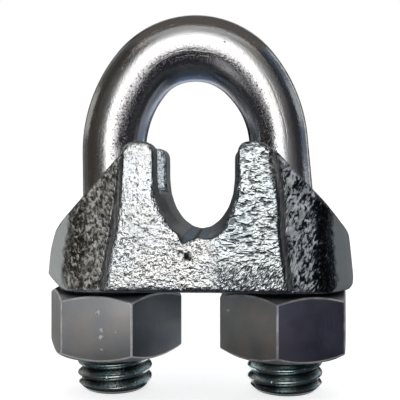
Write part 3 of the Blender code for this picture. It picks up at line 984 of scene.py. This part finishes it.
def nut_edge_zinc(groups, name, metallic, shadow_depth, cool, warm):
    """Zinc along the chamfers or edges of a nut, less metallic than the faces so that it catches light as a painted
    highlight, with painted shadow just under where the saddle sits on it.
    """
    material, tree, shader = new_material(name)
    shader.inputs["Metallic"].default_value = metallic
    place = add(tree, "TexCoord").outputs["Object"]
    bloom = place_group(tree, groups["zinc_bloom"], Vector=place, Scale=700.0, Cool=cool, Warm=warm)
    grain = add(tree, "TexNoise", Vector=place, Scale=5200.0, Detail=2.0)
    height = add(tree, "SeparateXYZ", Vector=place).outputs["Z"]
    # Painted shadow: the colour darkens near the nut's top, under the saddle.
    saddle_shadow = ranged(tree, height, NUT_TOP - shadow_depth, NUT_TOP - 0.0001)
    colour = mixed(tree, saddle_shadow, bloom.outputs["Tint"], (0.03, 0.03, 0.03, 1.0))
    tree.links.new(colour, shader.inputs["Base Color"])
    tree.links.new(ranged(tree, bloom.outputs["Haze"], 0.0, 1.0, 0.42, 0.55), shader.inputs["Roughness"])
    bump(tree, shader, grain.outputs["Fac"], 0.00002)
    return material


def cast_zinc(groups):
    """Bright zinc on a coarse cast skin, smooth along rims and in the groove, with painted shade on the rims, in the
    groove, hollows and dents and on the right side, pale painted glints on the flanks' crests, and darker towards the
    flanks' outer ends.
    """
    material, tree, shader = new_material("cast_zinc")
    place = add(tree, "TexCoord").outputs["Object"]
    skin = add(tree, "Attribute", {"attribute_name": "skin"}).outputs["Fac"]
    rim = add(tree, "Attribute", {"attribute_name": "rim"}).outputs["Fac"]
    flank = add(tree, "Attribute", {"attribute_name": "flank"}).outputs["Fac"]
    parts = add(tree, "SeparateXYZ", Vector=place)

    wide = add(tree, "Mapping", {"vector_type": "TEXTURE"}, Vector=place, Scale=(1.8, 1.0, 0.9))
    strokes = add(
        tree, "Mapping", {"vector_type": "TEXTURE"}, Vector=place, Rotation=(0.0, math.radians(-52.0), 0.0),
        Scale=(2.2, 1.0, 0.8),
    )
    even = place_group(tree, groups["cast_grain"], Vector=place, Scale=2700.0, Level=0.465, Twist=0.3)
    lumpy = place_group(tree, groups["cast_grain"], Vector=wide.outputs["Vector"], Scale=1450.0, Level=0.475, Twist=0.8)
    raked = place_group(tree, groups["cast_grain"], Vector=strokes.outputs["Vector"], Scale=2400.0, Level=0.475, Twist=0.8)
    fine = place_group(tree, groups["cast_grain"], Vector=place, Scale=4300.0, Level=0.475, Twist=0.3)
    # The right half: painted shade darkens its flank and boss and makes its front a little cooler. It also picks the
    # grain.
    right = ranged(tree, parts.outputs["X"], 0.0005, 0.0040)
    low = math_node(tree, "MULTIPLY", right, ranged(tree, parts.outputs["Z"], 0.0190, 0.0165))
    slanted = add(
        tree, "Mapping", {"vector_type": "TEXTURE"}, Vector=place, Rotation=(0.0, math.radians(48.0), 0.0),
        Scale=(1.3, 1.0, 0.9),
    )
    flecks = place_group(tree, groups["cast_grain"], Vector=slanted.outputs["Vector"], Scale=1900.0, Level=0.45, Twist=0.6)
    streaks = place_group(tree, groups["cast_grain"], Vector=strokes.outputs["Vector"], Scale=1600.0, Level=0.46, Twist=0.8)

    def blended(output):
        first = add(tree, "Mix", i0=right, i2=even.outputs[output], i3=lumpy.outputs[output]).outputs[0]
        front = add(tree, "Mix", i0=low, i2=first, i3=raked.outputs[output]).outputs[0]
        side = add(tree, "Mix", i0=right, i2=flecks.outputs[output], i3=streaks.outputs[output]).outputs[0]
        return add(tree, "Mix", i0=flank, i2=front, i3=side).outputs[0]

    height = blended("Height")
    hollows = blended("Hollows")

    bloom = place_group(
        tree, groups["zinc_bloom"], Vector=place, Scale=220.0, Cool=(0.88, 0.91, 0.93, 1.0), Warm=(0.93, 0.92, 0.90, 1.0)
    )
    reach = math_node(tree, "ABSOLUTE", parts.outputs["X"])
    foot = ranged(tree, math_node(tree, "ADD", parts.outputs["Z"], math_node(tree, "MULTIPLY", right, 0.01)), 0.0178, 0.0152)
    inner = math_node(tree, "SUBTRACT", reach, math_node(tree, "MULTIPLY", right, 0.0010))
    outer = math_node(tree, "MULTIPLY", ranged(tree, inner, 0.0128, 0.0146), ranged(tree, foot, 0.0, 1.0, 1.0, 0.3))
    # Painted light: more glints near the right flank's front rim.
    near = math_node(tree, "MULTIPLY", right, ranged(tree, reach, 0.0134, 0.0112))
    speckle = math_node(tree, "ADD", math_node(tree, "MULTIPLY", height, 0.8),
                        math_node(tree, "MULTIPLY", fine.outputs["Height"], 0.2))
    proud = math_node(tree, "ADD", speckle, math_node(tree, "MULTIPLY", near, 0.04))
    proud = math_node(tree, "SUBTRACT", proud, math_node(tree, "MULTIPLY", outer, ranged(tree, right, 0.0, 1.0, 0.07, 0.2)))
    # Painted glints: the grain's crests on the flanks take a pale colour, fewer towards the outer ends.
    crests = add(
        tree, "Mix", i0=right, i2=ranged(tree, proud, 0.36, 0.63), i3=ranged(tree, proud, 0.40, 0.58)
    ).outputs[0]
    patches = add(tree, "TexNoise", Vector=place, Scale=750.0, Detail=2.0)
    crests = math_node(tree, "MULTIPLY", crests, ranged(tree, patches.outputs["Fac"], 0.35, 0.65, 0.65, 1.0))
    # The flanks between the glints: darker and bluish on the right as painted shade, and darker towards their outer
    # ends.
    dull = mixed(tree, right, (0.33, 0.325, 0.30, 1.0), (0.08, 0.11, 0.16, 1.0))
    darker_outward = mixed(tree, right, (0.19, 0.165, 0.12, 1.0), (0.05, 0.05, 0.05, 1.0))
    dull = mixed(tree, outer, dull, darker_outward)
    # The pale colour of the painted glints.
    bright = mixed(tree, right, (0.97, 0.97, 0.93, 1.0), (0.93, 0.98, 1.0, 1.0))
    cast = mixed(tree, right, (0.985, 0.995, 1.0, 1.0), (0.92, 0.98, 1.0, 1.0))
    face = mixed(tree, 1.0, bloom.outputs["Tint"], cast, "MULTIPLY")
    coat = mixed(tree, flank, face, mixed(tree, crests, dull, bright))
    # Painted light and shade on the smooth bosses: the left one light, the right one dark.
    boss = mixed(tree, right, (0.78, 0.81, 0.80, 1.0), (0.31, 0.34, 0.355, 1.0))
    mottle = ranged(tree, lumpy.outputs["Height"], 0.40, 0.60)
    # Painted shade in the groove, dark and bluish, mottled.
    groove = mixed(tree, mottle, (0.23, 0.33, 0.45, 1.0), (0.35, 0.46, 0.58, 1.0))
    smooth = mixed(tree, flank, groove, mixed(tree, 1.0, boss, bloom.outputs["Tint"], "MULTIPLY"))
    # Painted shade along the rounded rims.
    smooth = mixed(tree, ranged(tree, rim, 0.0, 0.35), smooth, (0.15, 0.15, 0.155, 1.0))
    colour = mixed(tree, skin, smooth, coat)
    # Painted light: fewer dark hollows on the upper left and on the left flank.
    upper_left = math_node(
        tree, "MULTIPLY", ranged(tree, parts.outputs["Z"], 0.0225, 0.0275), ranged(tree, right, 1.0, 0.0)
    )
    share = ranged(tree, upper_left, 0.0, 1.0, 0.85, 0.45)
    left_facet = math_node(tree, "MULTIPLY", flank, math_node(tree, "SUBTRACT", 1.0, right))
    share = math_node(tree, "MULTIPLY", share, ranged(tree, left_facet, 0.0, 1.0, 1.0, 0.5))
    # Painted shade in the grain's hollows and in the dents.
    dark = math_node(tree, "MULTIPLY", math_node(tree, "MULTIPLY", hollows, skin), share)
    pit = add(tree, "Attribute", {"attribute_name": "pit"}).outputs["Fac"]
    dark = math_node(tree, "MAXIMUM", dark, pit)
    colour = mixed(tree, dark, colour, (0.07, 0.08, 0.08, 1.0))
    tree.links.new(colour, shader.inputs["Base Color"])
    # Glints and the satin bosses on the flanks are made less metallic, so that their painted colours show.
    glints = math_node(tree, "MULTIPLY", crests, skin)
    satin_boss = math_node(tree, "MULTIPLY", ranged(tree, skin, 0.1, 0.4, 1.0, 0.0), ranged(tree, reach, 0.0140, 0.0155))
    pale = math_node(tree, "MULTIPLY", flank, math_node(tree, "MAXIMUM", glints, satin_boss))
    tree.links.new(ranged(tree, pale, 0.0, 1.0, 1.0, 0.25), shader.inputs["Metallic"])
    haze = ranged(tree, bloom.outputs["Haze"], 0.0, 1.0, 0.20, 0.30)
    satin = ranged(tree, skin, 0.1, 0.5, 0.50, 0.0)
    tree.links.new(math_node(tree, "MAXIMUM", haze, satin), shader.inputs["Roughness"])
    strength = ranged(tree, skin, 0.0, 0.8, 0.16, 1.0)
    stronger = ranged(tree, math_node(tree, "MAXIMUM", right, flank), 0.0, 1.0, 0.5, 1.6)
    strength = math_node(tree, "MULTIPLY", strength, stronger)
    bump(tree, shader, math_node(tree, "MULTIPLY", height, strength), 0.00022)
    return material


# Studio


def flat(name, corners):
    """A flat sheet of the studio, which isn't part of the clip."""
    mesh = bpy.data.meshes.new(name)
    mesh.from_pydata(corners, [], [tuple(range(len(corners)))])
    sheet = bpy.data.objects.new(name, mesh)
    bpy.context.scene.collection.objects.link(sheet)
    return sheet


def card(name, corners, colour, strength=1.0):
    """A glowing card kept out of the shot, which the metal mirrors."""
    sheet = flat(name, corners)
    material = bpy.data.materials.new(name)
    material.use_nodes = True
    tree = material.node_tree
    tree.nodes.clear()
    glow = add(tree, "Emission", Color=(*colour, 1.0), Strength=strength)
    add(tree, "OutputMaterial", Surface=glow.outputs[0])
    sheet.data.materials.append(material)
    sheet.visible_camera = False
    return sheet, tree, glow


def seen_directly(tree):
    """1 for what the camera sees, straight or mirrored or through glass, and 0 for light on dull surfaces."""
    path = add(tree, "LightPath")
    share = math_node(tree, "MAXIMUM", path.outputs["Is Camera Ray"], path.outputs["Is Glossy Ray"])
    return math_node(tree, "MAXIMUM", share, path.outputs["Is Transmission Ray"])


def make_world():
    """A white surround that lights dull surfaces more softly."""
    world = bpy.data.worlds.new("studio")
    bpy.context.scene.world = world
    world.use_nodes = True
    tree = world.node_tree
    tree.nodes.clear()
    dim = add(tree, "Background", Color=(1.0, 1.0, 1.0, 1.0), Strength=0.6)
    white = add(tree, "Background", Color=(1.0, 1.0, 1.0, 1.0), Strength=1.0)
    mix = add(tree, "MixShader", i0=seen_directly(tree), i1=dim.outputs[0], i2=white.outputs[0])
    add(tree, "OutputWorld", Surface=mix.outputs[0])


def make_table():
    """The pale table, white to the eye, which keeps the clip's shadow."""
    table = flat("table", [(-0.7, -0.42, 0.0), (0.7, -0.42, 0.0), (0.7, 1.2, 0.0), (-0.7, 1.2, 0.0)])
    material = bpy.data.materials.new("table")
    material.use_nodes = True
    tree = material.node_tree
    shader = tree.nodes["Principled BSDF"]
    shader.inputs["Base Color"].default_value = (0.85, 0.85, 0.85, 1.0)
    shader.inputs["Roughness"].default_value = 0.9
    shader.inputs["Specular IOR Level"].default_value = 0.0
    shader.inputs["Emission Color"].default_value = (1.0, 1.0, 1.0, 1.0)
    glow = math_node(tree, "MULTIPLY", seen_directly(tree), 0.7)
    tree.links.new(glow, shader.inputs["Emission Strength"])
    table.data.materials.append(material)


def make_panel(name, y, left, right, bottom, top, strength):
    """A large soft light that fades towards its edges: where it starts to shine and where it shines in full."""
    sheet, tree, glow = card(name, [(-0.45, y, 0.0), (0.45, y, 0.0), (0.45, y, 0.60), (-0.45, y, 0.60)], (1.0, 1.0, 1.0))
    parts = add(tree, "SeparateXYZ", Vector=add(tree, "TexCoord").outputs["Object"])
    across = math_node(
        tree, "MULTIPLY", ranged(tree, parts.outputs["X"], *left), ranged(tree, parts.outputs["X"], *right)
    )
    upright = math_node(
        tree, "MULTIPLY", ranged(tree, parts.outputs["Z"], *bottom), ranged(tree, parts.outputs["Z"], *top)
    )
    level = math_node(tree, "MULTIPLY", across, upright)
    tree.links.new(math_node(tree, "MULTIPLY", level, strength), glow.inputs["Strength"])
    return sheet


def make_cards():
    """The dim walls and ceiling of the studio and the mats round the clip, which only the metal mirrors."""
    dark = (0.030, 0.030, 0.035)
    brown = (0.045, 0.040, 0.036)
    grey = (0.28, 0.275, 0.265)
    dim = (0.075, 0.075, 0.078)
    blue = (0.105, 0.13, 0.18)
    mat_z = 0.0004
    sheets = []
    for name, x0, x1, y0, y1, colour in (
        ("front_mat", -0.35, 0.35, -0.14, -0.001, dark),
        ("left_front_mat", -0.35, -0.14, -0.40, -0.14, brown),
        ("right_front_mat", 0.12, 0.35, -0.40, -0.14, dark),
        ("left_mat", -0.35, -0.018, -0.001, 0.10, grey),
        ("right_mat", 0.018, 0.35, -0.001, 0.10, dark),
        ("rear_mat", -0.018, 0.018, 0.013, 0.10, blue),
        ("far_rear_mat", -0.35, 0.35, 0.10, 0.40, blue),
    ):
        sheets.append((name, [(x0, y0, mat_z), (x1, y0, mat_z), (x1, y1, mat_z), (x0, y1, mat_z)], colour))
    sheets.append((
        "grey_mat",
        [(-0.065, -0.08, 2 * mat_z), (-0.021, -0.08, 2 * mat_z), (-0.021, -0.016, 2 * mat_z), (-0.065, -0.016, 2 * mat_z)],
        (0.42, 0.42, 0.43),
    ))
    sheets.append((
        "rear_pale_mat",
        [(-0.20, 0.06, 2 * mat_z), (0.20, 0.06, 2 * mat_z), (0.20, 0.16, 2 * mat_z), (-0.20, 0.16, 2 * mat_z)],
        (0.60, 0.60, 0.61),
    ))
    top = 0.42
    for name, x0, y0, x1, y1, colour in (
        ("left_wall", -0.32, -0.40, -0.32, 0.06, brown),
        ("right_wall", 0.32, -0.40, 0.32, 0.04, dark),
        ("left_rear_wall", -0.32, 0.06, -0.32, 0.40, dim),
        ("right_rear_wall", 0.32, 0.04, 0.32, 0.40, blue),
        ("rear_wall", -0.32, 0.40, 0.32, 0.40, blue),
    ):
        sheets.append((name, [(x0, y0, 0.0), (x1, y1, 0.0), (x1, y1, top), (x0, y0, top)], colour))
    for name, x, y0, y1, z0, z1, colour in (
        ("left_window", -0.30, 0.06, 0.30, 0.08, 0.18, (0.40, 0.40, 0.39)),
        ("right_window", 0.30, 0.04, 0.20, 0.11, 0.22, (0.36, 0.40, 0.43)),
        ("left_rear_strip", -0.26, 0.24, 0.34, 0.02, 0.34, (0.32, 0.31, 0.30)),
        ("right_rear_strip", 0.26, 0.24, 0.34, 0.02, 0.34, (0.8, 0.8, 0.8)),
    ):
        sheets.append((name, [(x, y0, z0), (x, y1, z0), (x, y1, z1), (x, y0, z1)], colour))
    sheets.append((
        "ceiling", [(-0.32, -0.20, top), (0.32, -0.20, top), (0.32, 0.40, top), (-0.32, 0.40, top)], (0.10, 0.092, 0.085)
    ))
    for name, corners, colour in sheets:
        sheet, tree, glow = card(name, corners, colour)
        sheet.visible_diffuse = False
        sheet.visible_shadow = False


CAMERA_AZIMUTH = math.radians(2.5)
CAMERA_DISTANCE = 0.093
CAMERA_HEIGHT = 0.0272
FOCAL_PIXELS = 688.0
IMAGE_PIXELS = 400.0
HORIZON_ROW = 185.0
MIDDLE_COLUMN = 199.5


def make_camera():
    """The camera of the photograph: level, close, a little to the right."""
    data = bpy.data.cameras.new("camera")
    camera = bpy.data.objects.new("camera", data)
    bpy.context.scene.collection.objects.link(camera)
    bpy.context.scene.camera = camera
    data.sensor_width = 36.0
    data.lens = data.sensor_width * FOCAL_PIXELS / IMAGE_PIXELS
    data.shift_x = (IMAGE_PIXELS / 2 - MIDDLE_COLUMN) / IMAGE_PIXELS
    data.shift_y = (HORIZON_ROW - IMAGE_PIXELS / 2) / IMAGE_PIXELS
    data.clip_start = 0.001
    camera.location = (
        CAMERA_DISTANCE * math.sin(CAMERA_AZIMUTH), -CAMERA_DISTANCE * math.cos(CAMERA_AZIMUTH), CAMERA_HEIGHT
    )
    camera.rotation_euler = (math.pi / 2, 0.0, CAMERA_AZIMUTH)


# Assembly


groups = {
    "zinc_bloom": zinc_bloom_group(),
    "pitting": pitting_group(),
    "scuffs": scuffs_group(),
    "cast_grain": cast_grain_group(),
}
# The nuts are lit and shaded copies of one zinc: each face is painted darker right of its front corner, the two nuts
# are painted in different colours, and the right nut's chamfers and edges are darker. The edges are paler and less
# metallic than the faces, a painted highlight.
NUT_FINISHES = {
    "left_nut": (
        nut_zinc(
            groups, "left_nut_zinc", nut_corner("left_nut"), (0.66, 0.66, 0.66, 1.0), (0.36, 0.40, 0.46, 1.0),
            ((-0.0123, 0.0113, 0.00036), (-0.0119, 0.0091, 0.00030), (-0.0119, 0.0083, 0.00034),
             (-0.0118, 0.0067, 0.00024), (-0.0100, 0.0090, 0.00030)),
        ),
        nut_edge_zinc(groups, "left_nut_chamfer_zinc", 0.8, 0.0007, (0.60, 0.60, 0.61, 1.0), (0.72, 0.72, 0.71, 1.0)),
        nut_edge_zinc(groups, "left_nut_edge_zinc", 0.4, 0.0002, (0.66, 0.66, 0.67, 1.0), (0.92, 0.92, 0.91, 1.0)),
    ),
    "right_nut": (
        nut_zinc(
            groups, "right_nut_zinc", nut_corner("right_nut"), (0.80, 0.77, 0.72, 1.0), (0.375, 0.37, 0.515, 1.0),
            ((0.0039, 0.0110, 0.00024),),
        ),
        nut_edge_zinc(groups, "right_nut_chamfer_zinc", 0.8, 0.0007, (0.46, 0.46, 0.50, 1.0), (0.60, 0.58, 0.54, 1.0)),
        nut_edge_zinc(groups, "right_nut_edge_zinc", 0.5, 0.0002, (0.48, 0.48, 0.52, 1.0), (0.78, 0.75, 0.70, 1.0)),
    ),
}
bolt = make_u_bolt()
bend_section(bolt)
saddle = make_saddle()
nuts = {node: make_nut(node) for node in ("left_nut", "right_nut")}

bolt.data.materials.append(bar_zinc(groups))
saddle.data.materials.clear()
saddle.data.materials.append(cast_zinc(groups))
for piece, body, slot in (
    (bolt, "u_bolt", "plated_bar"),
    (saddle, "saddle", "plated_casting"),
    (nuts["left_nut"], "left_nut", "plated_nut"),
    (nuts["right_nut"], "right_nut", "plated_nut"),
):
    pick(piece)
    bpy.ops.object.shade_smooth_by_angle(angle=math.radians(30.0))
    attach(piece, body)
    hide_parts(body)
bolt.data.materials.append(thread_zinc(groups))
for face in bolt.data.polygons:
    face.material_index = 1 if face.center.z < THREAD_LENGTH - THREAD_PITCH / 2 else 0

bpy.context.scene.view_settings.view_transform = "Standard"
make_world()
make_table()
make_panel("panel", -0.40, (-0.24, -0.10), (0.22, 0.07), (-0.02, -0.01), (0.48, 0.26), 1.4)
rear_panel = make_panel("rear_panel", 0.36, (-0.22, -0.08), (0.22, 0.08), (0.10, 0.18), (0.40, 0.26), 0.45)
rear_panel.visible_diffuse = False
rear_panel.visible_shadow = False
make_cards()
make_camera()
